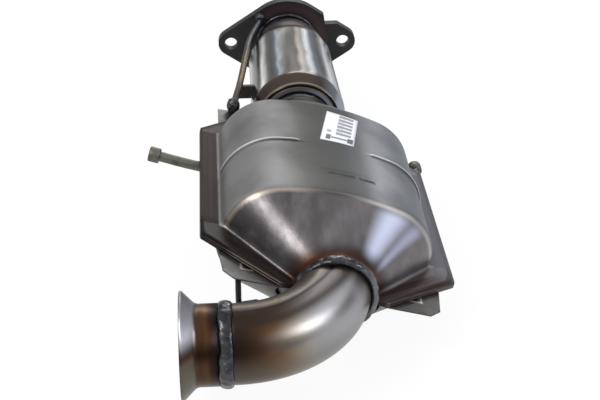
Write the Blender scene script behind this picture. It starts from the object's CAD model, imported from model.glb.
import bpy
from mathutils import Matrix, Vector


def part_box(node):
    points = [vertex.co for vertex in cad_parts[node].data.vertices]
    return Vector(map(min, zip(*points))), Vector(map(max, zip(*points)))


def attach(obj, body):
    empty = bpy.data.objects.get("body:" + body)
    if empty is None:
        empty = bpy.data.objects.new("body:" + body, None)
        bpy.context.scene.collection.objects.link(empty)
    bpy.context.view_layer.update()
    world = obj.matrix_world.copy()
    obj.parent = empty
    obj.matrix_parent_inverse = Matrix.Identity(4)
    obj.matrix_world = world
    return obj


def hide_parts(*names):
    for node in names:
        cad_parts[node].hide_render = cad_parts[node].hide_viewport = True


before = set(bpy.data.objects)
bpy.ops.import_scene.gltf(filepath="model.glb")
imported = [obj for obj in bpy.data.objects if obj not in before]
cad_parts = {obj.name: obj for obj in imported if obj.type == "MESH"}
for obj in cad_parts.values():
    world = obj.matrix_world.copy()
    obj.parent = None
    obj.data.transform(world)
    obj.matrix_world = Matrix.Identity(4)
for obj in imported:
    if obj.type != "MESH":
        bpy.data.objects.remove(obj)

"""A catalytic converter: flange, flexible joint, pressed body, bent outlet and heat shield, on the frame."""

import logging
import math
from dataclasses import dataclass
from enum import Enum
from typing import Callable, Iterable, Sequence, Union

import bmesh
import bpy
from mathutils import Matrix, Vector

LOG = logging.getLogger("converter")
MM = 0.001
Point = tuple[float, float]
Colour = tuple[float, float, float]
Number = Union["Value", float]
Place = tuple["Value", "Value", "Value"]
BMesh = bmesh.types.BMesh
Material = bpy.types.Material
Object = bpy.types.Object


def smooth(low: float, high: float, value: float) -> float:
    """A soft step from 0 at low to 1 at high."""
    part = min(1.0, max(0.0, (value - low) / (high - low)))
    return part * part * (3 - 2 * part)


def between(table: Sequence[Sequence[float]], value: float) -> tuple[float, ...]:
    """Reads a table of rows, each led by its station, along straight lines.

    Args:
        table: Rows in rising order of their first number.
        value: The station to read at.

    Returns:
        The rest of the row at that station.
    """
    for first, second in zip(table, table[1:]):
        if value <= second[0]:
            part = max(0.0, (value - first[0]) / (second[0] - first[0]))
            return tuple(a + (b - a) * part for a, b in zip(first[1:], second[1:]))
    return tuple(table[-1][1:])


def stations(*stretches: tuple[float, float, int]) -> list[float]:
    """Joins evenly divided stretches, given as start, end and steps, into one rising list."""
    values: list[float] = []
    for start, end, steps in stretches:
        values += [start + (end - start) * step / steps for step in range(steps)]
    return values + [stretches[-1][1]]


def curve(start: Vector, knee: Vector, end: Vector, part: float) -> Vector:
    """A point of the curve from start to end that leans to the knee."""
    return start * (1 - part) ** 2 + knee * 2 * part * (1 - part) + end * part**2


def rounded(corners: Sequence[Point], radius: float, steps: int = 4) -> list[Point]:
    """Rounds the inner corners of an open outline.

    Args:
        corners: The outline's corners.
        radius: The length taken off each side of a corner, at most a third of the shorter side.
        steps: Steps in each round.

    Returns:
        The outline with its corners rounded.
    """
    result = [corners[0]]
    for before, corner, after in zip(corners, corners[1:], corners[2:]):
        here = Vector(corner)
        back, ahead = Vector(before) - here, Vector(after) - here
        reach = min(radius, back.length / 3, ahead.length / 3)
        start, end = here + back.normalized() * reach, here + ahead.normalized() * reach
        spots = [curve(start, here, end, step / steps) for step in range(steps + 1)]
        result += [(spot.x, spot.y) for spot in spots]
    result.append(corners[-1])
    return result


def bent_path(corners: Sequence[Vector], radius: float, steps: int = 8) -> list[Vector]:
    """A path through corners, each rounded by a curve that starts radius before it."""
    path = [corners[0].copy()]
    for before, corner, after in zip(corners, corners[1:], corners[2:]):
        back, ahead = before - corner, after - corner
        reach = min(radius, back.length * 0.45, ahead.length * 0.45)
        start, end = corner + back.normalized() * reach, corner + ahead.normalized() * reach
        path += [curve(start, corner, end, step / steps) for step in range(steps + 1)]
    path.append(corners[-1].copy())
    return path


def shown(name: str, data: bpy.types.ID) -> Object:
    """A new object of that data, linked to the scene."""
    made = bpy.data.objects.new(name, data)
    bpy.context.scene.collection.objects.link(made)
    return made


# ---------------------------------------------------------------- meshes


class Maker:
    """Builds a finished piece: its mesh, its finish, its body and the frame nodes it stands for."""

    def surface(self, rows: int, columns: int, point: Callable[[int, int], Vector]) -> BMesh:
        """Bends a flat grid into a surface.

        Args:
            rows: Steps one way.
            columns: Steps the other way.
            point: The place of each crossing of the grid.

        Returns:
            The mesh, with meeting edges merged and its faces turned outwards.
        """
        mesh = bmesh.new()
        bmesh.ops.create_grid(mesh, x_segments=rows, y_segments=columns, size=0.5)
        for vert in mesh.verts:
            vert.co = point(round((vert.co.x + 0.5) * rows), round((vert.co.y + 0.5) * columns))
        bmesh.ops.remove_doubles(mesh, verts=mesh.verts, dist=1e-6)
        bmesh.ops.dissolve_degenerate(mesh, edges=mesh.edges, dist=1e-7)
        bmesh.ops.recalc_face_normals(mesh, faces=mesh.faces)
        return mesh

    def finish(
        self, name: str, mesh: BMesh, material: Material, nodes: Sequence[str] = (),
        place: Matrix | None = None, slot: str | None = None
    ) -> Object:
        """Makes the mesh an object of the part.

        Args:
            name: The piece's name.
            mesh: Its mesh, which is freed.
            material: Its finish.
            nodes: The frame nodes that it stands for.
            place: A turn and shift put into the mesh.
            slot: The record's material slot, by default the one named like the finish, and none if empty.

        Returns:
            The object.
        """
        if place is not None:
            bmesh.ops.transform(mesh, matrix=place, verts=mesh.verts)
        data = bpy.data.meshes.new(name)
        mesh.to_mesh(data)
        mesh.free()
        piece = shown(name, data)
        data.materials.append(material)
        data.shade_smooth()
        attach(piece, "root")
        if nodes:
            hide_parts(*nodes)
        if slot != "":
            slot or material.name.partition(".")[0]
        LOG.info("made %s with %d faces", name, len(data.polygons))
        return piece

    def thicken(self, piece: Object, name: str, thickness: float) -> bpy.types.SolidifyModifier:
        """Adds the modifier that gives a sheet its thickness, inwards from the surface that was modelled."""
        wall = piece.modifiers.new(name, "SOLIDIFY")
        wall.thickness = thickness
        wall.offset = -1
        return wall

    def turned(
        self, profile: Sequence[Point], segments: int, wave: Callable[[float, float], float] | None = None
    ) -> BMesh:
        """Turns a profile about the Y axis.

        Args:
            profile: Corners of (station, radius) in millimetres.
            segments: Steps round the axis.
            wave: What is added to the radius at an angle and a station, in metres.

        Returns:
            The mesh.
        """

        def point(row: int, column: int) -> Vector:
            y, radius = (part * MM for part in profile[row])
            angle = math.tau * (column % segments) / segments
            radius += wave(angle, y) if wave else 0.0
            return Vector((radius * math.sin(angle), y, radius * math.cos(angle)))

        return self.surface(len(profile) - 1, segments, point)

    def tube(
        self, path: Sequence[Vector], segments: int, radius: Callable[[int, float], float], ends: bool = True
    ) -> BMesh:
        """Sweeps a round section along a path of points.

        Args:
            path: The centre line.
            segments: Steps round it.
            radius: The radius at a point's number and an angle round the line.
            ends: Whether the two ends are closed.

        Returns:
            The mesh.
        """
        way = (path[1] - path[0]).normalized()
        side = way.orthogonal().normalized()
        frames = []
        for number, centre in enumerate(path):
            ahead = path[min(number + 1, len(path) - 1)] - path[max(number - 1, 0)]
            turn = way.rotation_difference(ahead.normalized())
            way = ahead.normalized()
            side = turn @ side
            frames.append((centre, side.copy(), way.cross(side)))

        def point(row: int, column: int) -> Vector:
            centre, across, up = frames[row]
            angle = math.tau * (column % segments) / segments
            return centre + (across * math.cos(angle) + up * math.sin(angle)) * radius(row, angle)

        mesh = self.surface(len(path) - 1, segments, point)
        if ends:
            bmesh.ops.holes_fill(mesh, edges=mesh.edges, sides=0)
        return mesh


# ---------------------------------------------------------------- shader tools


class Value:
    """A shader socket that adds Math nodes when it is used in an expression."""

    def __init__(self, tree: "Tree", socket: bpy.types.NodeSocket) -> None:
        """Keeps the socket and the tree that it belongs to."""
        self.tree = tree
        self.socket = socket

    def math(self, operation: str, *others: Number) -> "Value":
        """Adds one Math node fed by this value and others."""
        return self.tree.node("ShaderNodeMath", dict(enumerate((self, *others))), operation=operation)

    def __add__(self, other: Number) -> "Value":
        """Sum."""
        return self.math("ADD", other)

    def __sub__(self, other: Number) -> "Value":
        """Difference."""
        return self.math("SUBTRACT", other)

    def __mul__(self, other: Number) -> "Value":
        """Product."""
        return self.math("MULTIPLY", other)

    def __truediv__(self, other: Number) -> "Value":
        """Quotient."""
        return self.math("DIVIDE", other)

    def __rsub__(self, other: float) -> "Value":
        """Difference from a number."""
        return self.math("MULTIPLY_ADD", -1.0, other)

    __radd__ = __add__
    __rmul__ = __mul__

    def step(self, low: float, high: float) -> "Value":
        """A soft step from 0 at low to 1 at high, falling if low is the larger."""
        inputs = {"Value": self, "From Min": low, "From Max": high}
        return self.tree.node("ShaderNodeMapRange", inputs, interpolation_type="SMOOTHSTEP")

    def band(self, low: float, high: float, soft: float) -> "Value":
        """1 between low and high, fading to 0 over soft on each side."""
        return self.step(low - soft, low) * self.step(high + soft, high)

    def peak(self, middle: float, width: float) -> "Value":
        """A rounded peak of 1 at middle, 0 beyond width."""
        return (self - middle).math("ABSOLUTE").step(width, 0.0)


class Tree:
    """A node tree, with the few calls that it is written in."""

    def __init__(self, tree: bpy.types.NodeTree, space: str) -> None:
        """Starts on a tree whose points are read in that coordinate space."""
        self.nodes = tree.nodes
        self.links = tree.links
        self.where = self.node("ShaderNodeTexCoord", {}, output=space)

    def node(
        self, kind: str, inputs: dict[int | str, object], output: int | str | None = 0, **settings: object
    ) -> Value:
        """Adds a node.

        Args:
            kind: The node's type.
            inputs: Values or sockets by the input's number or name.
            output: The output that is used, or None if it has none.
            settings: Properties of the node, set before its inputs.

        Returns:
            The output, ready for an expression.
        """
        made = self.nodes.new(kind)
        for name, setting in settings.items():
            setattr(made, name, setting)
        for name, given in inputs.items():
            self.feed(made, name, given)
        return Value(self, None if output is None else made.outputs[output])

    def feed(self, node: bpy.types.Node, name: int | str, given: object) -> None:
        """Links or sets one input of a node."""
        if isinstance(given, Value):
            self.links.new(given.socket, node.inputs[name])
        else:
            node.inputs[name].default_value = given

    def axes(self, place: Value | None = None) -> Place:
        """The three parts of a vector, of the tree's own coordinates if none is given."""
        split = self.nodes.new("ShaderNodeSeparateXYZ")
        self.feed(split, 0, place or self.where)
        return Value(self, split.outputs[0]), Value(self, split.outputs[1]), Value(self, split.outputs[2])

    def noise(self, scale: float, detail: float = 3.0, place: Value | None = None) -> Value:
        """Noise of 0 to 1 at so many lumps to a metre."""
        inputs = {"Vector": place or self.where, "Scale": scale, "Detail": detail, "Roughness": 0.55}
        return self.node("ShaderNodeTexNoise", inputs)

    def stretched(self, place: Sequence[Value], scale: Sequence[float], detail: float = 3.0) -> Value:
        """Noise drawn out along an axis by its own scale on each."""
        parts = {number: part * size for number, (part, size) in enumerate(zip(place, scale))}
        return self.noise(1.0, detail, self.node("ShaderNodeCombineXYZ", parts))

    def mix(self, part: Number, first: object, second: object, blend: str = "MIX") -> Value:
        """Mixes two colours."""
        settings = {"data_type": "RGBA", "blend_type": blend, "clamp_factor": True}
        inputs = {0: part, 6: self.colour(first), 7: self.colour(second)}
        return self.node("ShaderNodeMix", inputs, output=2, **settings)

    def colour(self, given: object) -> object:
        """A colour socket's value: a link as it is, or red, green and blue on the 0 to 255 screen scale."""
        if isinstance(given, Value):
            return given
        return (*[((part / 255 + 0.055) / 1.055) ** 2.4 for part in given], 1.0)

    def ramp(self, value: Value, stops: Sequence[tuple[float, Colour]], kind: str = "B_SPLINE") -> Value:
        """A colour ramp of (place, colour) stops."""
        made = self.nodes.new("ShaderNodeValToRGB")
        made.color_ramp.interpolation = kind
        while len(made.color_ramp.elements) < len(stops):
            made.color_ramp.elements.new(0.5)
        for element, (place, colour) in zip(made.color_ramp.elements, stops):
            element.position = place
            element.color = self.colour(colour)
        self.feed(made, 0, value)
        return Value(self, made.outputs[0])


class Recipe(Tree):
    """One material's node tree, which ends in a Principled surface."""

    def __init__(self, name: str) -> None:
        """Starts a material of that name."""
        self.material = bpy.data.materials.new(name)
        self.material.use_nodes = True
        super().__init__(self.material.node_tree, "Object")
        self.shader = next(node for node in self.nodes if node.type == "BSDF_PRINCIPLED")

    def surface(
        self,
        colour: object,
        roughness: Number,
        metallic: Number,
        height: Value | None = None,
        depth: float = 0.0,
    ) -> Material:
        """Feeds the shader.

        Args:
            colour: The base colour.
            roughness: The roughness.
            metallic: How metallic it is.
            height: The relief for a bump, from 0 to 1.
            depth: The relief's depth in metres.

        Returns:
            The finished material.
        """
        self.feed(self.shader, "Base Color", self.colour(colour))
        self.feed(self.shader, "Roughness", roughness)
        self.feed(self.shader, "Metallic", metallic)
        if height is not None:
            bump = self.node("ShaderNodeBump", {"Height": height, "Strength": 1.0, "Distance": depth})
            self.feed(self.shader, "Normal", bump)
        return self.material


# ---------------------------------------------------------------- layout


class Side(Enum):
    """The two halves of the pressed body."""

    UPPER = 1
    LOWER = -1


@dataclass(frozen=True)
class Seat:
    """The body's own frame: X across the seam, Y along it from the front ridge, Z square to the seam."""

    shift: float = 6.7 * MM
    ridge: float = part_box("catalyst_brick")[0][1] - 16 * MM
    tilt: float = math.radians(15)

    def matrix(self) -> Matrix:
        """From the body's frame to the part's."""
        move = Matrix.Translation((self.shift, self.ridge, -self.shift * math.tan(self.tilt)))
        return move @ Matrix.Rotation(self.tilt, 4, "Y")

    def axes(self, recipe: Recipe) -> Place:
        """The body's coordinates as shader values."""
        x, y, z = recipe.axes()
        across = x - self.shift
        up = z + self.shift * math.tan(self.tilt)
        sine, cosine = math.sin(self.tilt), math.cos(self.tilt)
        return across * cosine - up * sine, y - self.ridge, across * sine + up * cosine


@dataclass(frozen=True)
class Outlet:
    """The bend: its centre, its radius, and the line of the end tube."""

    tube: float = 27 * MM
    bend: float = 71 * MM
    start: float = 49 * MM
    beyond: float = 6.3 * MM

    def centre(self) -> Vector:
        """The middle of the bend's arc."""
        seat = Seat()
        return Vector((seat.shift - self.bend, seat.ridge - self.start, -seat.shift * math.tan(seat.tilt)))

    def joint(self) -> Vector:
        """The middle of the weld between the bend and the end tube."""
        return self.centre() + Vector((-self.beyond, -self.bend, 0))


SEAT = Seat()
OUTLET = Outlet()


# ---------------------------------------------------------------- finishes


@dataclass(frozen=True)
class ShellSteel:
    """Pressed sheet: dull grey on the can, satin on the cones, heat tinted at the neck and along the seam."""

    cone_dark: Colour = (70, 68, 70)
    cone_light: Colour = (106, 102, 104)

    def can(self, recipe: Recipe, place: Place, cloud: Value, drawn: Value) -> Value:
        """The can's dull grey, lighter to the right of its crown."""
        x, y, _ = place
        can = recipe.ramp((x + (cloud - 0.5) * 0.02).step(-0.088, 0.088), [
            (0.0, (126, 127, 127)), (0.12, (122, 122, 122)), (0.26, (64, 64, 62)),
            (0.48, (54, 55, 53)), (0.66, (82, 84, 86)), (0.76, (160, 162, 167)),
            (0.88, (118, 122, 128)), (1.0, (98, 102, 110)),
        ])
        can = recipe.mix(cloud.step(0.42, 0.7) * 0.4, can, (50, 48, 45))
        can = recipe.mix(drawn.step(0.5, 0.8) * 0.25, can, (126, 126, 124))
        return recipe.mix(y.step(0.03, 0.13) * x.peak(0.0, 0.06) * 0.45, can, (24, 24, 23))

    def cones(self, recipe: Recipe, place: Place, cloud: Value, drawn: Value) -> Value:
        """The front cone's satin with two glints and a heat tint, and the rear cone's browned grey."""
        x, y, z = place
        cone = recipe.mix(x.step(-0.07, 0.05), self.cone_dark, self.cone_light)
        cone = recipe.mix(drawn.step(0.4, 0.7) * 0.3, cone, (150, 146, 150))
        line = z.math("ARCTAN2", x) + (y + 0.016) * 2.5
        glint = line.peak(0.84, 0.30) * y.band(-0.052, -0.012, 0.012)
        cone = recipe.mix(glint * 0.95, cone, (222, 230, 255))
        faint = line.peak(0.52, 0.12) * y.band(-0.050, -0.012, 0.014)
        cone = recipe.mix(faint * 0.6, cone, (206, 212, 240))
        near = y + (cloud - 0.5) * 0.012
        tint = recipe.ramp(near.step(-0.066, -0.034), [
            (0.0, (78, 46, 34)), (0.25, (62, 37, 28)), (0.5, (42, 31, 28)), (0.75, (70, 63, 65)),
            (1.0, (92, 90, 96)),
        ])
        cone = recipe.mix(near.step(-0.042, -0.058), cone, tint)
        far = recipe.mix((y - 0.15).step(0.0, 0.05), (96, 92, 86), (54, 49, 44))
        return recipe.mix(y.step(0.07, 0.08), cone, far)

    def crest(self, recipe: Recipe, place: Place, drawn: Value, skin: Value) -> Value:
        """Adds the light line along the can's front edge."""
        x, y, _ = place
        tone = recipe.ramp(x.step(-0.085, 0.085), [
            (0.0, (150, 140, 130)), (0.16, (196, 186, 174)), (0.32, (74, 66, 60)), (0.5, (44, 39, 36)),
            (0.64, (150, 144, 138)), (0.76, (250, 244, 238)), (0.88, (216, 210, 204)),
            (1.0, (150, 148, 148)),
        ])
        line = (y + (drawn - 0.5) * 0.0012).peak(-0.0028, 0.0034)
        return recipe.mix(line * 0.75, skin, tone)

    def flat(self, place: Place) -> Value:
        """1 on the seam's flat, outside the body's wall."""
        x, y, z = place
        across = x.math("ABSOLUTE")
        front = across * 0.749 - y * 0.662 - 0.0607
        rear = across * 0.677 + y * 0.735 - 0.1651
        out = (across - 0.081).math("MAXIMUM", front).math("MAXIMUM", rear)
        return z.math("ABSOLUTE").step(0.0045, 0.0024) * out.step(0.0006, 0.0028)

    def rim(self, recipe: Recipe, place: Place) -> Value:
        """The flat's dark and brown streaks, which run along its outer edge."""
        x, y, z = place
        across = x.math("ABSOLUTE")
        nose = across * 0.629 + (0.0 - y) * 0.777
        tail = across * 0.74 + (y - 0.15) * 0.672
        edge = across.math("MAXIMUM", nose + 0.020).math("MAXIMUM", tail + 0.0215)
        streaks = recipe.stretched((edge, y, z), (900, 9, 900), 2)
        rim = recipe.ramp((edge + (streaks - 0.5) * 0.005).step(0.078, 0.0975), [
            (0.0, (84, 78, 70)), (0.14, (26, 22, 20)), (0.3, (66, 46, 44)), (0.42, (24, 18, 20)),
            (0.56, (76, 58, 54)), (0.68, (26, 20, 24)), (0.8, (60, 52, 44)), (0.9, (24, 20, 20)),
            (1.0, (90, 82, 77)),
        ])
        rim = recipe.mix(streaks.step(0.35, 0.7) * 0.25, rim, (60, 50, 52))
        rim = recipe.mix(x.step(0.02, -0.06) * 0.5, rim, (120, 108, 104), "MULTIPLY")
        rim = recipe.mix(x.step(-0.07, -0.08) * y.step(0.010, 0.002) * 0.85, rim, (90, 82, 78), "MULTIPLY")
        return recipe.mix(x.step(0.06, 0.09) * y.step(-0.03, 0.0) * 0.45, rim, (128, 132, 142))

    def marks(self, recipe: Recipe, place: Place, skin: Value) -> Value:
        """Adds the rib's light and dark lines and the worn dark marks on the crown."""
        x, y, z = place
        rib = y - 0.0762
        over = x.math("ABSOLUTE").step(0.027, 0.031) * z.step(0.002, 0.012)
        lit = x.step(0.0, 0.03)
        bright = (rib - lit * 0.0002).peak(0.0002, 0.0021) * over * (lit * 0.35 + 0.6)
        skin = recipe.mix(bright, skin, (240, 240, 240))
        skin = recipe.mix(rib.peak(-0.0021, 0.0016) * over * 0.7, skin, (40, 38, 38))
        torn = recipe.stretched(place, (260, 900, 260), 2)
        words = x.band(-0.0085, 0.0105, 0.002) + x.band(0.0155, 0.0265, 0.002)
        first = (y + (torn - 0.5) * 0.004).peak(0.0292, 0.0036) * words * torn.step(0.24, 0.40)
        second = (y + (torn - 0.5) * 0.003).peak(0.0238, 0.0012) * x.band(-0.004, 0.016, 0.003)
        worn = (first + second * torn.step(0.45, 0.6) * 0.5) * z.step(0.0, 0.02)
        return recipe.mix(worn.math("MINIMUM", 1.0) * 0.95, skin, (20, 18, 18))

    def build(self) -> Material:
        """The material."""
        recipe = Recipe("shell_steel")
        place = SEAT.axes(recipe)
        cloud = recipe.noise(14, 4)
        drawn = recipe.stretched(place, (60, 14, 60))
        on_can = place[1].band(0.0, 0.15, 0.0012)
        flat = self.flat(place)
        can = self.can(recipe, place, cloud, drawn)
        skin = recipe.mix(on_can, self.cones(recipe, place, cloud, drawn), can)
        skin = recipe.mix(flat, self.crest(recipe, place, drawn, skin), self.rim(recipe, place))
        skin = self.marks(recipe, place, skin)
        scuffs = recipe.stretched(place, (1500, 120, 1500), 2).step(0.66, 0.8)
        rough = on_can * 0.2 + 0.3 + cloud * 0.12 + flat * 0.06 + scuffs * 0.05
        relief = recipe.noise(420, 2) * 0.5 + cloud + scuffs * 0.1
        return recipe.surface(skin, rough, 0.92 - on_can * 0.12, relief, 0.00012)


@dataclass(frozen=True)
class PolishedSleeve:
    """The joint's cover: bright rolled sheet with lengthwise tints and a browned front shoulder."""

    def build(self) -> Material:
        """The material."""
        recipe = Recipe("bright_sleeve")
        x, y, z = place = recipe.axes()
        sway = recipe.stretched(place, (9, 16, 9), 2)
        angle = x.math("ARCTAN2", z) / math.tau + 0.5 + (sway - 0.5) * 0.05
        sheet = recipe.ramp(angle, [
            (0.0, (104, 104, 102)), (0.255, (78, 82, 82)), (0.29, (122, 126, 126)),
            (0.32, (86, 88, 88)), (0.35, (128, 130, 128)), (0.366, (255, 255, 250)),
            (0.379, (255, 255, 250)), (0.393, (132, 132, 126)), (0.41, (92, 94, 92)),
            (0.427, (118, 126, 130)), (0.438, (204, 214, 224)), (0.455, (126, 126, 120)),
            (0.48, (72, 70, 64)), (0.507, (62, 62, 60)), (0.52, (164, 156, 144)),
            (0.537, (152, 150, 152)), (0.552, (250, 252, 255)), (0.560, (244, 250, 255)),
            (0.574, (134, 142, 156)), (0.60, (70, 74, 78)), (0.628, (192, 196, 204)),
            (0.655, (76, 80, 84)), (0.71, (28, 31, 34)), (1.0, (104, 104, 102)),
        ], "LINEAR")
        fine = recipe.stretched(place, (240, 8, 240))
        sheet = recipe.mix((fine - 0.4) * 0.6, sheet, (96, 92, 88))
        front, back = (corner[1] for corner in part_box("flex_sleeve"))
        brown = recipe.mix(sway.step(0.4, 0.6), (92, 81, 70), (74, 66, 59))
        brown = recipe.mix(x.step(0.018, 0.036), brown, (150, 158, 168))
        skin = recipe.mix(y.step(front + 0.0178, front + 0.0150), sheet, brown)
        crease = (y + (sway - 0.5) * 0.004).peak(front + 0.0146, 0.0012)
        skin = recipe.mix(crease * 0.1, skin, (190, 182, 168))
        skin = recipe.mix((y - front).peak(0.0016, 0.0013) * 0.65, skin, (170, 164, 152))
        reach = (x * x + z * z).math("SQRT")
        mouth = reach.step(0.0362, 0.0352) * y.step(front + 0.003, front + 0.001)
        skin = recipe.mix(mouth, skin, (84, 66, 54))
        skin = recipe.mix(y.step(back - 0.010, back), skin, (92, 74, 64))
        rough = 0.17 + fine * 0.12 + angle.step(0.655, 0.70) * 0.35
        dents = recipe.stretched(place, (46, 12, 46), 2)
        return recipe.surface(skin, rough, 0.95, dents + fine * 0.08, 0.0006)


@dataclass(frozen=True)
class BluedSteel:
    """Dark steel at the joint's two ends, run through blue and brown by the welding heat."""

    def build(self) -> Material:
        """The material."""
        recipe = Recipe("blued_steel")
        x, y, z = recipe.axes()
        cloud = recipe.noise(30, 3)
        rear = recipe.ramp((y + (cloud - 0.5) * 0.02).step(-0.075, -0.010), [
            (0.0, (40, 34, 32)), (0.35, (26, 22, 22)), (0.55, (46, 28, 24)), (0.7, (30, 24, 30)),
            (0.85, (24, 28, 38)), (1.0, (20, 20, 22)),
        ])
        blue = (x + 0.024).peak(0.0, 0.008) * y.band(-0.030, -0.016, 0.006)
        rear = recipe.mix(blue * 0.8, rear, (52, 74, 96))
        red = (x - 0.014 - (0.0 - y) * 0.3).peak(0.0, 0.005) * z.step(0.0, 0.01)
        rear = recipe.mix(red * 0.6, rear, (86, 58, 58))
        reach = (x * x + z * z).math("SQRT")
        front = recipe.mix((x + (cloud - 0.5) * 0.02).step(0.002, 0.028), (88, 92, 100), (128, 140, 160))
        brown = recipe.mix(cloud.step(0.4, 0.6), (100, 82, 68), (80, 68, 60))
        ring = reach + (cloud - 0.5) * 0.002
        front = recipe.mix(ring.step(0.0322, 0.0336), front, brown)
        front = recipe.mix(ring.step(0.0302, 0.0290), front, (38, 36, 33))
        skin = recipe.mix(y.step(-0.12, -0.15), rear, front)
        metallic = 0.85 - y.step(-0.15, -0.17) * 0.55
        return recipe.surface(skin, 0.3 + cloud * 0.2, metallic, recipe.noise(260), 0.00015)


@dataclass(frozen=True)
class WeldMetal:
    """Blue-black weld bead with bright flecks and brown edges."""

    def build(self) -> Material:
        """The material."""
        recipe = Recipe("weld_metal")
        cloud = recipe.noise(90, 3)
        speck = recipe.noise(420, 2)
        skin = recipe.ramp(cloud, [
            (0.2, (34, 33, 34)), (0.42, (56, 56, 58)), (0.58, (78, 80, 86)), (0.8, (70, 60, 54)),
        ])
        skin = recipe.mix(speck.step(0.60, 0.74) * 0.6, skin, (120, 130, 146))
        x, y, z = recipe.axes()
        neck = y.step(-0.40, -0.42)
        skin = recipe.mix(neck * x.step(0.022, 0.038) * 0.35, skin, (150, 154, 160))
        skin = recipe.mix(neck * z.step(0.012, 0.026) * x.step(0.02, 0.0) * 0.5, skin, (24, 24, 26))
        return recipe.surface(skin, 0.52 - speck * 0.4, 0.9, cloud + speck * 0.4, 0.0004)


@dataclass(frozen=True)
class BronzedSteel:
    """The outlet's bare tube: silver on the bend, bronze and dark brown towards its two welds."""

    def bend(self, recipe: Recipe, place: Place) -> Value:
        """The colours along and round the bend."""
        x, y, z = place
        centre = OUTLET.centre()
        east, south = x - centre.x, (0.0 - y) + centre.y
        along = south.math("ARCTAN2", east) / (math.pi / 2)
        cloud = recipe.noise(16, 3)
        drift = along + (cloud - 0.5) * 0.10
        skin = recipe.ramp(drift.step(-0.1, 1.06), [
            (0.0, (50, 36, 29)), (0.15, (66, 54, 46)), (0.26, (160, 158, 164)),
            (0.52, (156, 156, 160)), (0.70, (150, 149, 147)), (0.78, (138, 130, 118)),
            (0.85, (110, 88, 66)), (0.91, (86, 60, 43)), (0.96, (58, 42, 33)), (1.0, (34, 27, 26)),
        ])
        reach = (east * east + south * south).math("SQRT") - OUTLET.bend
        tilt = (z - centre.z).math("ARCTAN2", reach)
        skin = recipe.mix(tilt.step(0.35, -0.3) * 0.5, skin, (98, 94, 84))
        lamp = tilt + (along - 0.5) * 0.6
        dull = lamp.peak(0.60, 0.22) * along.band(0.38, 0.78, 0.12)
        skin = recipe.mix(dull * 0.7, skin, (100, 97, 93))
        gleam = lamp.peak(0.86, 0.24) * along.band(0.30, 0.68, 0.24)
        skin = recipe.mix(gleam * 0.3, skin, (206, 204, 202))
        brow = tilt + (cloud - 0.5) * 0.15 - along.peak(0.45, 0.4) * 0.14
        skin = recipe.mix(brow.step(0.84, 1.10) * 0.85, skin, (50, 42, 37))
        skin = recipe.mix(brow.step(1.60, 1.74) * 0.8, skin, (98, 91, 79))
        wide = brow.peak(1.36, 0.26) * along.step(0.4, 0.8)
        skin = recipe.mix(wide * 0.75, skin, (50, 34, 27))
        return recipe.mix(brow.peak(1.50, 0.10) * 0.9, skin, (26, 20, 19))

    def end(self, recipe: Recipe, place: Place) -> Value:
        """The colours along the end tube and its flare."""
        x, _, z = place
        joint = OUTLET.joint()
        cloud = recipe.noise(34, 2)
        drift = x + (cloud - 0.5) * 0.006
        tube = recipe.ramp(drift.step(joint.x - 0.021, joint.x - 0.003), [
            (0.0, (74, 56, 44)), (0.2, (64, 42, 30)), (0.45, (84, 59, 37)), (0.65, (56, 35, 26)),
            (0.85, (38, 29, 27)), (1.0, (28, 25, 28)),
        ])
        height = z - joint.z
        shade = (height + (cloud - 0.5) * 0.008).peak(0.010, 0.008)
        tube = recipe.mix(shade * 0.75, tube, (30, 20, 18))
        flare = recipe.ramp((height + (cloud - 0.5) * 0.004).step(-0.022, 0.040), [
            (0.0, (96, 92, 80)), (0.48, (90, 85, 73)), (0.57, (70, 40, 35)), (0.63, (56, 46, 44)),
            (0.71, (110, 108, 112)), (0.84, (196, 196, 202)), (1.0, (132, 132, 140)),
        ])
        return recipe.mix(drift.step(joint.x - 0.0195, joint.x - 0.022), tube, flare)

    def build(self) -> Material:
        """The material."""
        recipe = Recipe("bronzed_steel")
        place = recipe.axes()
        weld = OUTLET.joint().x
        beyond = place[0].step(weld + 0.001, weld - 0.001)
        skin = recipe.mix(beyond, self.bend(recipe, place), self.end(recipe, place))
        fine = recipe.stretched(place, (60, 60, 900))
        return recipe.surface(skin, 0.31 + fine * 0.14, 0.95, recipe.noise(60, 3) + fine * 0.1, 0.00018)


@dataclass(frozen=True)
class PlainMetal:
    """A metal with one main colour, clouded by a second and speckled by a third."""

    name: str
    main: Colour
    cloud: Colour
    speck: Colour
    roughness: float = 0.45
    metallic: float = 0.9
    lumps: float = 40
    relief: float = 0.00015

    def build(self) -> Material:
        """The material."""
        recipe = Recipe(self.name)
        clouds = recipe.noise(self.lumps, 4)
        grain = recipe.noise(self.lumps * 12, 3)
        skin = recipe.mix(clouds.step(0.4, 0.68), self.main, self.cloud)
        skin = recipe.mix(grain.step(0.6, 0.75) * 0.6, skin, self.speck)
        rough = self.roughness + (clouds - 0.5) * 0.25
        return recipe.surface(skin, rough, self.metallic, clouds * 0.5 + grain * 0.5, self.relief)


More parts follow.
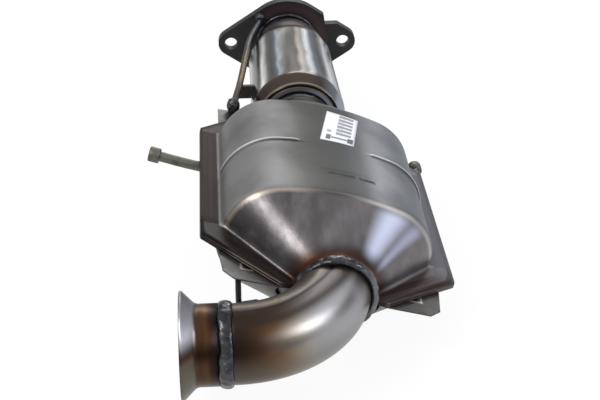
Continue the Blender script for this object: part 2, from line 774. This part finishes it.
@dataclass(frozen=True)
class ShieldSteel:
    """The cover's dull sheet, worn bright along the edges of the pressings in its four tabs."""

    def build(self) -> Material:
        """The material."""
        recipe = Recipe("shield_steel")
        x, y, z = SEAT.axes(recipe)
        clouds = recipe.noise(26, 4)
        grain = recipe.noise(320, 3)
        skin = recipe.mix(clouds.step(0.4, 0.68), (84, 83, 82), (70, 68, 66))
        skin = recipe.mix(grain.step(0.6, 0.75) * 0.5, skin, (104, 103, 101))
        across = x.math("ABSOLUTE")
        end = (y + 0.0498).math("MINIMUM", 0.1978 - y)
        slope = ((across - 0.052) * 17.0 - end * 14.0) / 22.0
        inside = (0.066 - across).math("MINIMUM", end).math("MINIMUM", slope)
        flat = z.step(-0.006, -0.0045)
        skin = recipe.mix(inside.step(0.0, 0.001) * flat * 0.5, skin, (66, 65, 64))
        skin = recipe.mix(inside.peak(-0.0002, 0.0022) * flat * 0.85, skin, (196, 196, 196))
        rough = 0.42 + (clouds - 0.5) * 0.25
        return recipe.surface(skin, rough, 0.85, clouds * 0.5 + grain * 0.5, 0.00015)


@dataclass(frozen=True)
class CastFlange:
    """Near-black plate with mill scale, tinted brown and blue by the hub's weld."""

    def build(self) -> Material:
        """The material."""
        recipe = Recipe("cast_flange")
        x, _, z = recipe.axes()
        reach = (x * x + z * z).math("SQRT")
        clouds = recipe.noise(45, 4)
        grain = recipe.noise(700, 2)
        skin = recipe.mix(clouds.step(0.4, 0.7), (32, 33, 35), (42, 40, 40))
        warm = (reach + (clouds - 0.5) * 0.01).peak(0.036, 0.007) * z.step(-0.01, 0.01)
        skin = recipe.mix(warm * 0.6, skin, (70, 48, 46))
        skin = recipe.mix(grain.step(0.62, 0.8) * 0.35, skin, (78, 76, 74))
        return recipe.surface(skin, 0.55 + (grain - 0.5) * 0.2, 0.55, clouds * 0.4 + grain * 0.6, 0.0002)


@dataclass(frozen=True)
class BrownedRod:
    """Round bar with a brown and gold scale, dark and blue at its ends."""

    def build(self) -> Material:
        """The material."""
        recipe = Recipe("browned_rod")
        _, y, _ = recipe.axes()
        clouds = recipe.noise(60, 3)
        skin = recipe.ramp((y + (clouds - 0.5) * 0.05).step(-0.21, -0.005), [
            (0.0, (34, 33, 36)), (0.12, (48, 37, 28)), (0.3, (92, 76, 52)), (0.55, (74, 68, 58)),
            (0.8, (58, 58, 60)), (1.0, (36, 42, 52)),
        ])
        return recipe.surface(skin, 0.34 + clouds * 0.2, 0.9, recipe.noise(500, 2), 0.0001)


@dataclass(frozen=True)
class Honeycomb:
    """The brick's end faces: rows of fine square channels in pale ceramic."""

    pitch: float = 1.6 * MM

    def build(self) -> Material:
        """The material."""
        recipe = Recipe("ceramic")
        x, _, z = SEAT.axes(recipe)
        parts = [(across / self.pitch).math("FRACT") - 0.5 for across in (x, z)]
        walls = [part.math("ABSOLUTE").step(0.34, 0.42) for part in parts]
        wall = walls[0].math("MAXIMUM", walls[1])
        skin = recipe.mix(wall, (26, 24, 22), (196, 186, 166))
        return recipe.surface(skin, 0.9, 0.0, wall, 0.0006)


@dataclass(frozen=True)
class LabelPaper:
    """A small white label with plain grey bars and fields that say nothing."""

    def build(self) -> Material:
        """The material."""
        recipe = Recipe("label_paper")
        u, v, _ = recipe.axes(recipe.node("ShaderNodeUVMap", {}, uv_map="label"))
        thick = (v * 5.0).math("FLOOR").math("FRACT")
        bars = (v * 8.0 + 0.1 + thick).math("FRACT").band(0.18, 0.72, 0.1)
        block = v.band(0.24, 0.97, 0.01)
        bars = bars * u.band(0.42, 0.86, 0.02) * block
        thin = (v * 21.0).math("FRACT").band(0.3, 0.6, 0.1) * u.band(0.42, 0.6, 0.02) * block
        foot = v.band(0.11, 0.16, 0.012) * u.band(0.30, 0.9, 0.01)
        spots = v.band(0.06, 0.2, 0.02) * (u.band(0.16, 0.27, 0.03) + u.band(0.80, 0.94, 0.03))
        side = v.band(0.30, 0.37, 0.02) * u.band(0.14, 0.26, 0.02)
        ink = (bars * 0.72).math("MAXIMUM", foot * 0.75).math("MAXIMUM", spots * 0.95)
        ink = ink.math("MAXIMUM", side * 0.6).math("MAXIMUM", thin * 0.5)
        skin = recipe.mix(ink, (204, 207, 216), (34, 36, 46))
        return recipe.surface(skin, 0.5, 0.0, recipe.noise(90, 2), 0.00005)


# ---------------------------------------------------------------- pressed body


@dataclass
class PressedBody(Maker):
    """The two half shells, lofted from oval can to round necks, with rib, stamped patch and seam flange."""

    half_width: float = 81 * MM
    half_height: float = 47.5 * MM
    corner: float = 44 * MM
    sheet: float = 1.8 * MM
    length: float = 150 * MM
    front: float = 65 * MM
    rear: float = 53 * MM
    lip: float = 6 * MM
    blend: float = 3.2 * MM
    front_neck: float = 28.8 * MM
    rear_neck: float = 29.9 * MM
    rib_station: float = 76 * MM
    rib_width: float = 1.7 * MM
    rib_rise: float = 1.7 * MM
    patch_depth: float = 0.55 * MM
    dent_depth: float = 0.22 * MM
    fillet: float = 2.6 * MM
    neck_start: float = 0.064
    can_start: float = 0.024
    flange_steps: int = 3
    bend_steps: int = 6
    columns: int = 66
    edge: tuple[tuple[float, float, float], ...] = (
        (-65 * MM, 39 * MM, -66.2 * MM),
        (-9 * MM, 96.5 * MM, -20 * MM),
        (151 * MM, 96.5 * MM, 155.5 * MM),
        (203 * MM, 57 * MM, 199 * MM),
    )

    def fullness(self, y: float) -> float:
        """How far the section has opened from the neck's circle, 0, to the can's oval, 1."""
        start, end, lip = -self.front, self.length + self.rear, self.lip
        table = [(start, 0), (lip + start, 0), (0, 1), (self.length, 1), (end - lip, 0), (end, 0)]
        steps = [between(table, y + self.blend * shift)[0] for shift in (-1, -0.5, 0, 0.5, 1)]
        return sum(steps) / len(steps)

    def start(self, y: float) -> float:
        """The way round the half section at which the seam's fillet ends."""
        return self.neck_start + (self.can_start - self.neck_start) * self.fullness(y)

    def crown(self) -> tuple[float, float]:
        """The crown's arc: its radius, and how far its centre lies under the seam."""
        flat, arm = self.half_height - self.corner, self.half_width - self.corner
        depth = (arm**2 - flat**2) / (2 * flat)
        return self.half_height + depth, depth

    def oval(self, part: float) -> Vector:
        """A point of the can's half oval, part 0 at the right seam and 1 at the left."""
        arm = self.half_width - self.corner
        radius, depth = self.crown()
        lean = math.atan2(arm, depth)
        turn = math.pi / 2 - lean
        third = min(2, int(part * 3))
        within = part * 3 - third
        if third == 1:
            angle = turn + 2 * lean * within
            return Vector((0, -depth)) + Vector((math.cos(angle), math.sin(angle))) * radius
        angle = turn * within if third == 0 else math.pi - turn * (1 - within)
        middle = Vector((arm if third == 0 else -arm, 0))
        return middle + Vector((math.cos(angle), math.sin(angle))) * self.corner

    def section(self, y: float, part: float) -> Vector:
        """The outside of the sheet at a station.

        Args:
            y: The station along the body.
            part: The way round the half section, 0 at the right seam and 1 at the left.

        Returns:
            The point, with Z towards the crown.
        """
        turn = math.radians(between([(0, 0), (1 / 3, 45), (2 / 3, 135), (1, 180)], part)[0])
        radius, shift = self.front_neck, 0.0
        if y >= self.length / 2:
            radius, shift = self.rear_neck, -SEAT.shift / math.cos(SEAT.tilt)
        ring = Vector((shift + radius * math.cos(turn), radius * math.sin(turn)))
        share = self.fullness(y)
        place = ring * (1 - share) + self.oval(part) * share
        return Vector((place.x, y, place.y))

    def relief(self, x: float, y: float, side: Side) -> float:
        """How far ribs stand out and the stamped patch and small dents lie in, at a point of the can."""
        away = (y - self.rib_station) / self.rib_width
        rib = math.exp(-(away**2)) * smooth(26 * MM, 30 * MM, abs(x)) * self.rib_rise
        patch = smooth(24 * MM, 19 * MM, abs(x - 9 * MM)) * smooth(7.5 * MM, 5 * MM, abs(y - 28 * MM))
        dents = math.sin(x * 47 + 0.6) * math.sin(y * 61 + 1.1) * self.dent_depth
        return rib - (patch * self.patch_depth if side is Side.UPPER else 0.0) + dents * self.fullness(y) ** 4

    def rows(self) -> list[float]:
        """The stations of the mesh, closer at ridges and ribs."""
        rib = self.rib_station / MM
        marks = [-65, -56, -6, 5, 20, 37, rib - 6, rib + 6, 144, 156, 191, 203]
        steps = [6, 14, 10, 5, 12, 8, 24, 12, 10, 12, 6]
        return [station * MM for station in stations(*zip(marks, marks[1:], steps))]

    def seam(self, y: float, step: int, hand: int) -> Vector:
        """A point of the seam's flat and its fillet.

        Args:
            y: The station along the body.
            step: The step inwards, 0 at the flat's outer edge.
            hand: 1 on the right and -1 on the left.

        Returns:
            The point.
        """
        part = self.start(y)
        wall = self.section(y, part if hand > 0 else 1 - part)
        root = self.section(y, 0.0 if hand > 0 else 1.0)
        foot = Vector((root.x + self.fillet * hand, y, self.sheet))
        if step <= self.flange_steps:
            out_x, out_y = between(self.edge, y)
            return Vector((out_x * hand, out_y, self.sheet)).lerp(foot, step / self.flange_steps)
        knee = Vector((root.x, y, self.sheet))
        return curve(foot, knee, wall, (step - self.flange_steps) / (self.bend_steps + 1))

    def build(self, side: Side, finish: Material) -> Object:
        """Makes one shell.

        Args:
            side: Which half.
            finish: Its material.

        Returns:
            The piece.
        """
        rows = self.rows()
        first = self.flange_steps + self.bend_steps
        last = first + self.columns
        total = last + first

        def point(row: int, column: int) -> Vector:
            y = rows[row]
            if column < first:
                spot = self.seam(y, column, 1)
            elif column > last:
                spot = self.seam(y, total - column, -1)
            else:
                start = self.start(y)
                spot = self.section(y, start + (1 - 2 * start) * (column - first) / self.columns)
                out = Vector((spot.x / self.half_width**2, 0, spot.z / self.half_height**2)).normalized()
                spot += out * self.relief(spot.x, y, side) * smooth(1.8 * MM, 8 * MM, spot.z)
            spot.z *= side.value
            return spot

        mesh = self.surface(len(rows) - 1, total, point)
        if sum(face.normal.z for face in mesh.faces) * side.value < 0:
            bmesh.ops.reverse_faces(mesh, faces=mesh.faces)
        name = f"{side.name.lower()}_shell"
        piece = self.finish(name + "_pressing", mesh, finish, [name], SEAT.matrix())
        self.thicken(piece, "sheet", self.sheet).use_even_offset = True
        return piece

    def label(self, finish: Material) -> Object:
        """The small blank-worded label that lies on the crown of the upper shell."""
        near = Vector((-11.8, 83.4)), Vector((15.7, 82.7))
        far = Vector((-1.3, 139.4)), Vector((25.1, 135.4))
        radius, depth = self.crown()
        mesh = bmesh.new()
        bmesh.ops.create_grid(mesh, x_segments=12, y_segments=16, size=0.5)
        sheet = mesh.loops.layers.uv.new("label")
        for face in mesh.faces:
            for loop in face.loops:
                loop[sheet].uv = (loop.vert.co.x + 0.5, loop.vert.co.y + 0.5)
        for vert in mesh.verts:
            u, v = vert.co.x + 0.5, vert.co.y + 0.5
            spot = near[0].lerp(near[1], u).lerp(far[0].lerp(far[1], u), v) * MM
            height = math.sqrt(radius**2 - spot.x**2) - depth + self.relief(spot.x, spot.y, Side.UPPER)
            vert.co = Vector((spot.x, spot.y, height + 0.25 * MM))
        piece = self.finish("label", mesh, finish, (), SEAT.matrix(), slot="")
        self.thicken(piece, "paper", 0.2 * MM)
        return piece


# ---------------------------------------------------------------- inlet and flexible joint


@dataclass
class FlexibleJoint(Maker):
    """The round pieces about the inlet's axis, from the hub to the neck of the body."""

    segments: int = 144
    start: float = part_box("flex_sleeve")[0][1]
    end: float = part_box("flex_sleeve")[1][1]

    def beaten(self, angle: float, y: float) -> float:
        """The shallow lengthwise waves of rolled thin sheet."""
        low, high = self.start, self.end
        along = smooth(low + 0.012, low + 0.035, y) * smooth(high, high - 0.02, y)
        drift = math.sin(y * 38 + 1.3) * 0.35
        wave = math.sin(angle * 9 + drift) * 0.32 + math.sin(angle * 16 + 2 + drift * 2) * 0.2
        return (wave - 0.5) * 0.55 * MM * along

    def hub(self) -> BMesh:
        """The inlet pipe: a stub that widens to the joint's rear ring."""
        inner = [(-6, 27.5), (-16, 27.5), (-42, 34.5), (-74, 34.5)]
        outer = [(-74, 36), (-42, 36), (-16, 29), (-6, 29)]
        return self.turned(rounded(inner, 5, 6) + rounded(outer, 5, 6) + inner[:1], self.segments)

    def sleeve(self) -> BMesh:
        """The cover, with its beaten sheet, rolled shoulder and turned-in lip."""
        outer = [(-65, 40), (-182.6, 41.9), (-197, 36.6), (-197, 34.5)]
        inner = [(-195.8, 34.5), (-195.8, 35.8), (-183, 40.6), (-65, 38.8)]
        body = [(-65 - 4 * step, 40 + 1.9 * step * 4 / 117.6) for step in range(29)]
        outline = body + rounded([body[-1]] + outer[1:], 3.2, 7) + rounded(inner, 2) + outer[:1]
        return self.turned(outline, self.segments * 2, self.beaten)

    def collar(self, start: float, end: float, inner: float, outer: float) -> BMesh:
        """One end collar with rounded edges, its stations and radii in millimetres."""
        corners = [(start, inner), (start, outer), (end, outer), (end, inner)]
        profile = rounded(corners + corners[:2], 1.2)[1:-1]
        return self.turned(profile + profile[:1], self.segments)

    def build(self, sleeve: Material, blued: Material) -> None:
        """Makes the hub, the sleeve and both collars."""
        self.finish("inlet_hub", self.hub(), blued, ["inlet_pipe"])
        self.finish("sleeve", self.sleeve(), sleeve, ["flex_sleeve"])
        self.finish("rear_collar", self.collar(-65, -74, 36.25, 38.55), blued, ["flex_rear_collar"])
        self.finish("front_collar", self.collar(-188, -197, 29.2, 34.15), blued, ["flex_front_collar"])


# ---------------------------------------------------------------- welds


@dataclass
class Bead(Maker):
    """A hand-laid weld: a ring of overlapping lumps about an axis, its sizes in millimetres."""

    name: str
    node: str
    place: Matrix
    radius: float
    width: float
    rise: float
    lumps: int
    seed: float
    depth: float = 0.6
    lump_steps: int = 9
    sides: int = 20

    def point(self, row: int, column: int) -> Vector:
        """A point of the bead, row steps round the ring and column steps round its section."""
        rows = self.lumps * self.lump_steps
        angle = math.tau * (row % rows) / rows
        turn = math.tau * (column % self.sides) / self.sides
        ripple = (angle * self.lumps / math.tau + 0.25 * math.sin(3 * angle + self.seed)) % 1.0
        scale = 0.9 + 0.14 * ripple**1.5
        swell = 1 + 0.07 * math.sin(4 * angle + self.seed) + 0.05 * math.sin(11 * angle + 2 * self.seed)
        sway = 0.035 * math.sin(5 * angle + 1.7 * self.seed) + 0.025 * math.sin(13 * angle)
        bump = 1 + 0.08 * math.sin(turn * 3 + angle * 23 + self.seed)
        along = (math.cos(turn) * (0.5 * swell + 0.03 * ripple) + sway) * self.width
        rise = math.sin(turn)
        out = abs(rise) ** 0.7 * self.rise * swell * scale * bump if rise > 0 else rise * self.depth
        radius = self.radius + out
        return Vector((radius * math.sin(angle), along, radius * math.cos(angle))) * MM

    def build(self, finish: Material) -> None:
        """Makes the piece."""
        mesh = self.surface(self.lumps * self.lump_steps, self.sides, self.point)
        self.finish(self.name, mesh, finish, [self.node], self.place)


@dataclass
class Lump(Maker):
    """A blob of weld metal at a rod's end."""

    name: str
    node: str
    seed: float

    def build(self, finish: Material) -> None:
        """Makes the piece, filling the box of its frame node with an uneven rounded lump."""
        low, high = (Vector(corner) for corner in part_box(self.node))
        middle, half = (low + high) / 2, (high - low) / 2
        mesh = bmesh.new()
        bmesh.ops.create_icosphere(mesh, subdivisions=4, radius=1.0)
        for vert in mesh.verts:
            x, y, z = vert.co
            dent = math.sin(7 * x + self.seed) * math.sin(8 * y + 2 * self.seed) * math.sin(6 * z + 1)
            stripe = math.sin(16 * y + 3 * x + self.seed)
            vert.co = middle + vert.co * (0.9 + 0.11 * dent + 0.05 * stripe) * half
        self.finish(self.name, mesh, finish, [self.node])


# ---------------------------------------------------------------- outlet


@dataclass
class BentOutlet(Maker):
    """The bent tube with its inner crease, and the flared end tube."""

    wall: float = 1.5 * MM
    crease: float = 0.9 * MM
    steps: int = 56
    segments: int = 96

    def bend(self, finish: Material) -> None:
        """Makes the tube from the body's neck round to the joint weld."""
        centre = OUTLET.centre()
        angles = [math.pi / 2 * step / self.steps for step in range(self.steps + 1)]
        path = [centre + Vector((math.cos(angle), -math.sin(angle), 0)) * OUTLET.bend for angle in angles]

        def skin(row: int, angle: float) -> float:
            """The radius, less a shallow crease inside the bend."""
            part = row / self.steps
            away = (angle - 4.1 + 0.5 * part) / 0.16
            return OUTLET.tube - math.exp(-(away**2)) * math.sin(min(1.0, part) * math.pi) * self.crease

        mesh = self.tube([*path, OUTLET.joint()], self.segments, skin, ends=False)
        piece = self.finish("bend", mesh, finish, ["outlet_elbow"])
        self.thicken(piece, "wall", self.wall)

    def end(self, finish: Material) -> None:
        """Makes the end tube and its flare, turned about the outlet's axis."""
        outer = [(0, 27.5), (-19.5, 27.5), (-28.5, 36.5), (-30, 36.2)]
        inner = [(-30, 34.6), (-19.5, 26), (0, 26)]
        mesh = self.turned(rounded(outer, 2.4, 6) + rounded(inner, 2.4, 6) + outer[:1], self.segments)
        place = Matrix.Translation(OUTLET.joint()) @ Matrix.Rotation(-math.pi / 2, 4, "Z")
        self.finish("end_tube", mesh, finish, ["outlet_fitting"], place)


# ---------------------------------------------------------------- rods and plates


@dataclass
class Rod(Maker):
    """A round bar along corners in millimetres, with a wider head of the length head at its end."""

    name: str
    node: str
    radius: float
    bend: float
    corners: Sequence[Sequence[float]]
    place: Matrix | None = None
    head: float = 0.0
    step: float = 3.0
    sides: int = 28
    head_widths: tuple[float, ...] = (1.2, 1.42, 1.52, 1.52, 1.52, 1.36)

    def path(self) -> list[Vector]:
        """The centre line, evenly divided, with closer points where the head's shape changes."""
        line = bent_path([Vector(corner) * MM for corner in self.corners], self.bend * MM)
        fine = line[:1]
        for before, after in zip(line, line[1:]):
            pieces = max(1, round((after - before).length / (self.step * MM)))
            fine += [before.lerp(after, step / pieces) for step in range(1, pieces + 1)]
        if self.head:
            final, before = fine[-1], fine[-2]
            way = (final - before).normalized()
            while (fine[-1] - final).length < (self.head + 2) * MM and len(fine) > 3:
                fine.pop()
            head = self.head
            marks = (head + 0.6, head, head - 0.01, head - 0.8, head * 0.5, 0.8, 0.25, 0.0)
            fine += [final - way * mark * MM for mark in marks]
        return fine

    def build(self, finish: Material, slot: str | None = None) -> None:
        """Makes the piece."""
        path = self.path()
        last = len(path) - 1

        def skin(row: int, angle: float) -> float:
            """The radius, slightly uneven, drawn in at plain ends and wider along the head."""
            left = last - row
            if self.head and left < len(self.head_widths):
                return self.radius * self.head_widths[left] * MM
            if row in (0, last):
                return self.radius * 0.82 * MM
            return self.radius * (1 + 0.012 * math.sin(row * 1.7 + angle * 2)) * MM

        self.finish(self.name, self.tube(path, self.sides, skin), finish, [self.node], self.place, slot)


@dataclass
class Plate(Maker):
    """A copy of a frame node with its hard edges rounded."""

    name: str
    node: str
    bevel: float

    def build(self, finish: Material) -> None:
        """Makes the piece."""
        mesh = bmesh.new()
        mesh.from_mesh(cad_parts[self.node].data)
        bmesh.ops.remove_doubles(mesh, verts=mesh.verts, dist=1e-6)
        bmesh.ops.dissolve_limit(mesh, angle_limit=math.radians(0.6), verts=mesh.verts, edges=mesh.edges)
        piece = self.finish(self.name, mesh, finish, [self.node])
        edges = piece.modifiers.new("edges", "BEVEL")
        edges.width = self.bevel
        edges.segments = 2
        edges.limit_method = "ANGLE"
        edges.angle_limit = math.radians(40)
        piece.modifiers.new("shading", "WEIGHTED_NORMAL").keep_sharp = True


# ---------------------------------------------------------------- studio


@dataclass
class Studio:
    """The floor, lamps, world and camera."""

    eye: tuple[float, float, float] = (-0.0701, -1.2592, 0.5058)
    aim: tuple[float, float, float] = (0.0, -0.36, 0.0)
    azimuth: float = math.radians(-3.81)
    elevation: float = math.radians(28.74)
    lens: float = 80.18

    def camera(self) -> None:
        """Stands the camera."""
        data = bpy.data.cameras.new("camera")
        data.lens = self.lens
        data.sensor_width = 36
        data.clip_start = 0.05
        camera = shown("camera", data)
        turn = Matrix.Rotation(self.azimuth, 4, "Z") @ Matrix.Rotation(math.pi / 2 - self.elevation, 4, "X")
        camera.matrix_world = Matrix.Translation(self.eye) @ turn
        bpy.context.scene.camera = camera

    def lamp(
        self, name: str, spot: Sequence[float], size: Sequence[float], power: float, colour: Colour
    ) -> None:
        """One soft lamp aimed at the body."""
        data = bpy.data.lights.new(name, "AREA")
        data.shape = "RECTANGLE"
        data.size, data.size_y = size
        data.energy = power
        data.color = [part / 255 for part in colour]
        lamp = shown(name, data)
        lamp.location = spot
        lamp.rotation_euler = (Vector(self.aim) - Vector(spot)).to_track_quat("-Z", "Y").to_euler()

    def floor(self) -> None:
        """A plain pale floor that shows white with the part's soft shadow on it."""
        mesh = bmesh.new()
        bmesh.ops.create_grid(mesh, x_segments=1, y_segments=1, size=30)
        low = min(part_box(node)[0][2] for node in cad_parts)
        bmesh.ops.translate(mesh, verts=mesh.verts, vec=(0, 0, low - 0.6 * MM))
        data = bpy.data.meshes.new("floor")
        mesh.to_mesh(data)
        mesh.free()
        shown("floor", data)
        recipe = Recipe("floor_white")
        data.materials.append(recipe.surface((236, 236, 238), 0.9, 0.0))
        camera = recipe.node("ShaderNodeLightPath", {}, "Is Camera Ray")
        glossy = recipe.node("ShaderNodeLightPath", {}, "Is Glossy Ray")
        share = camera.math("MAXIMUM", glossy) * 0.93
        glow = recipe.node("ShaderNodeEmission", {"Color": (1, 1, 1, 1), "Strength": 1.0})
        plain = Value(recipe, recipe.shader.outputs[0])
        mixed = recipe.node("ShaderNodeMixShader", {0: share, 1: plain, 2: glow})
        recipe.feed(next(node for node in recipe.nodes if node.type == "OUTPUT_MATERIAL"), 0, mixed)

    def world(self) -> None:
        """White where the camera looks past the part, and a soft grey sky that lights it."""
        world = bpy.data.worlds.new("studio")
        world.use_nodes = True
        bpy.context.scene.world = world
        world.node_tree.nodes.clear()
        tree = Tree(world.node_tree, "Generated")
        white = (255, 255, 255)
        rise = tree.axes()[2].math("MULTIPLY_ADD", 0.5, 0.5)
        stops = [(0.35, (108, 108, 109.5)), (0.62, (173.4, 173.4, 175.7)), (1.0, white)]
        sky = tree.ramp(rise, stops, "LINEAR")
        seen = tree.node("ShaderNodeLightPath", {}, "Is Camera Ray")
        light = tree.node("ShaderNodeBackground", {0: tree.mix(seen, sky, white)})
        tree.node("ShaderNodeOutputWorld", {0: light}, None)

    def build(self) -> None:
        """The whole studio."""
        self.camera()
        self.floor()
        self.world()
        self.lamp("key", (-1.1, -0.9, 1.5), (0.9, 0.5), 26, (255, 250, 240))
        self.lamp("fill", (1.5, -1.1, 0.9), (0.9, 0.7), 15, (236, 240, 255))
        self.lamp("back", (0.3, 1.4, 1.1), (1.2, 0.5), 14, (255, 255, 255))
        bpy.context.scene.view_settings.view_transform = "Standard"


# ---------------------------------------------------------------- the whole part


def paint(material: Material, *nodes: str) -> None:
    """Gives frame nodes that stay in sight their finish."""
    for node in nodes:
        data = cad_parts[node].data
        data.materials.clear()
        data.materials.append(material)


def welds(weld: Material) -> None:
    """Makes the four ring welds and the four blobs at the rods."""
    neck = Matrix.Translation((SEAT.shift, SEAT.ridge - 65 * MM, OUTLET.centre().z))
    joint = Matrix.Translation(OUTLET.joint()) @ Matrix.Rotation(math.pi / 2, 4, "Z")
    lip = Matrix.Translation((0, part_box("inlet_neck_weld")[0][1] + 2 * MM, 0))
    hub = Matrix.Translation((0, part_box("flange_weld")[1][1] - 2.2 * MM, 0))
    Bead("neck_bead", "outlet_neck_weld", neck, 27.8, 8.4, 3.2, 18, 0.8, 3.0).build(weld)
    Bead("joint_bead", "outlet_weld", joint, 27.0, 8.8, 2.4, 19, 2.1).build(weld)
    Bead("lip_bead", "inlet_neck_weld", lip, 28.6, 5.0, 1.9, 26, 1.4).build(weld)
    Bead("flange_bead", "flange_weld", hub, 29.4, 5.0, 2.2, 22, 0.2).build(weld)
    for number, spot in enumerate(("hanger_{}_left", "hanger_{}_right", "stay_{}_front", "stay_{}_rear")):
        Lump(spot.format("blob"), spot.format("weld"), number * 1.3).build(weld)


def rods(scale: Material) -> None:
    """Makes the bracing rod, the shield's thin stay, which has dark scale, and the two hanger pins."""
    brace = [(-25, -10.6, 25.6), (-38.8, -62, 24.7), (-51, -150, 16.1), (-56.7, -203, 24)]
    thin = [(-60.7, -469.2, 12.6), (-60.7, -469.2, -10.9), (-48.4, -500.4, 11.2)]
    left = [(-83.8, 103, -7.1), (-103.8, 103, -7.1), (-136.4, 107.6, -7.1)]
    right = [(87.8, 104, -7.1), (96.9, 119, -7.1), (97.7, 187, -7.1)]
    hanger = PlainMetal("hanger_steel", (98, 97, 90), (74, 72, 62), (124, 121, 111), 0.5, 0.8, 70).build()
    Rod("brace_rod", "stay_rod", 3, 16, brace).build(BrownedRod().build())
    Rod("thin_stay", "shield_stay", 2.1, 4.4, thin).build(scale, "browned_rod")
    for side, corners in (("left", left), ("right", right)):
        Rod(f"{side}_hanger", f"hanger_rod_{side}", 4, 12, corners, SEAT.matrix(), 9).build(hanger)


def main() -> None:
    """Builds every piece, dresses what stays of the frame and sets up the studio."""
    logging.basicConfig(level=logging.INFO, format="%(name)s %(message)s")
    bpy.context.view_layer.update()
    shell = ShellSteel().build()
    blued = BluedSteel().build()
    bronzed = BronzedSteel().build()
    black = PlainMetal("dark_scale", (46, 46, 47), (56, 50, 46), (62, 62, 64), 0.5, 0.8, 60).build()
    steel = PlainMetal("plain_steel", (128, 126, 124), (108, 104, 100), (150, 148, 146), 0.35, 0.9, 30)
    fibre = PlainMetal("mat_fibre", (186, 184, 178), (168, 166, 160), (206, 204, 198), 0.95, 0.0, 120)

    body = PressedBody()
    body.build(Side.UPPER, shell)
    body.build(Side.LOWER, shell)
    body.label(LabelPaper().build())
    FlexibleJoint().build(PolishedSleeve().build(), blued)
    welds(WeldMetal().build())
    outlet = BentOutlet()
    outlet.bend(bronzed)
    outlet.end(bronzed)
    Plate("flange_plate", "inlet_flange", 0.7 * MM).build(CastFlange().build())
    Plate("shield_cover", "heat_shield", 0.35 * MM).build(ShieldSteel().build())
    rods(black)
    paint(black, "stay_strut")
    paint(steel.build(), "flex_bellows", "flex_liner", "front_seal_ring", "rear_seal_ring")
    paint(blued, "cat_pipe")
    paint(fibre.build(), "support_mat")
    paint(Honeycomb().build(), "catalyst_brick")

    Studio().build()
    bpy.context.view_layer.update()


if __name__ == "__main__":
    main()
